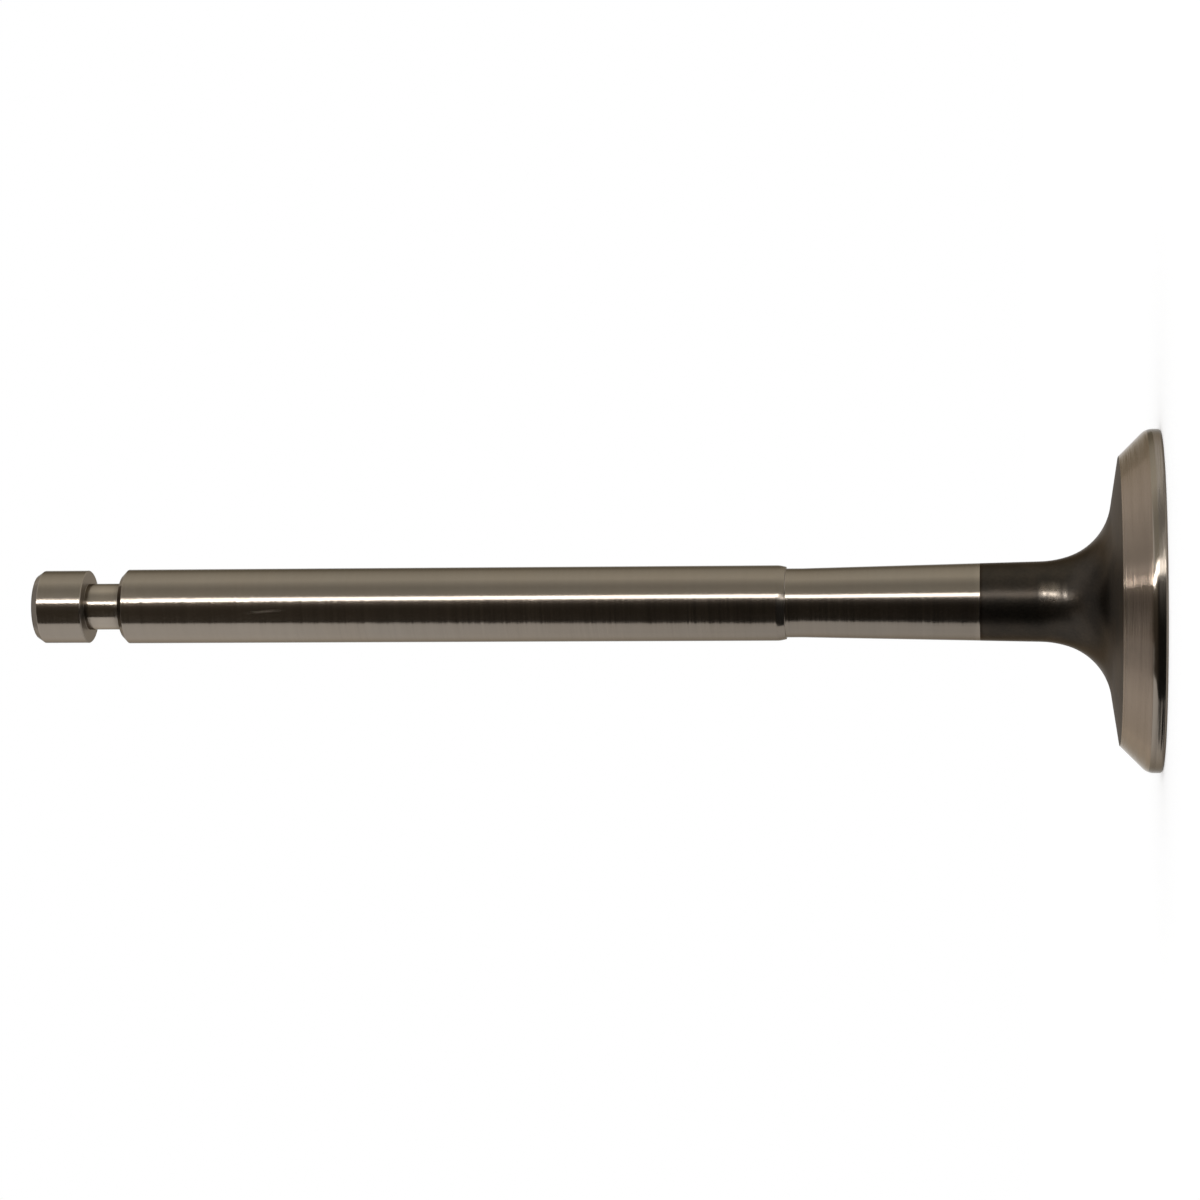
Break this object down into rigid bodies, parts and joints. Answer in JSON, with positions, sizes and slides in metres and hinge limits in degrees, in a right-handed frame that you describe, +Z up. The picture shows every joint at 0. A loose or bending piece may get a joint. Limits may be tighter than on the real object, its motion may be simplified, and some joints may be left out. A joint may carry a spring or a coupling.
{
  "type": "engine valve",
  "caption": "Poppet valve that opens and closes a gas port of an engine: flat round head with a conical seat, tulip neck, long ground stem, and a keeper groove below a bevelled tip.",
  "frame": {"origin": "centre of the head's flat face, on the valve's axis, which is the lowest point of the part", "axes": "+Z up the stem, from the head to the tip; +X and +Y are any two square directions across it, because the part is the same all round"},
  "size_m": [0.0424, 0.0424, 0.1423],
  "materials": {
    "valve_steel": "ground bright on the stem, neck taper, seat and margin; darkened and slightly rough as forged on the tulip below the neck"
  },
  "bodies": {
    "root": {"valve": "valve_steel"}
  },
  "joints": []
}
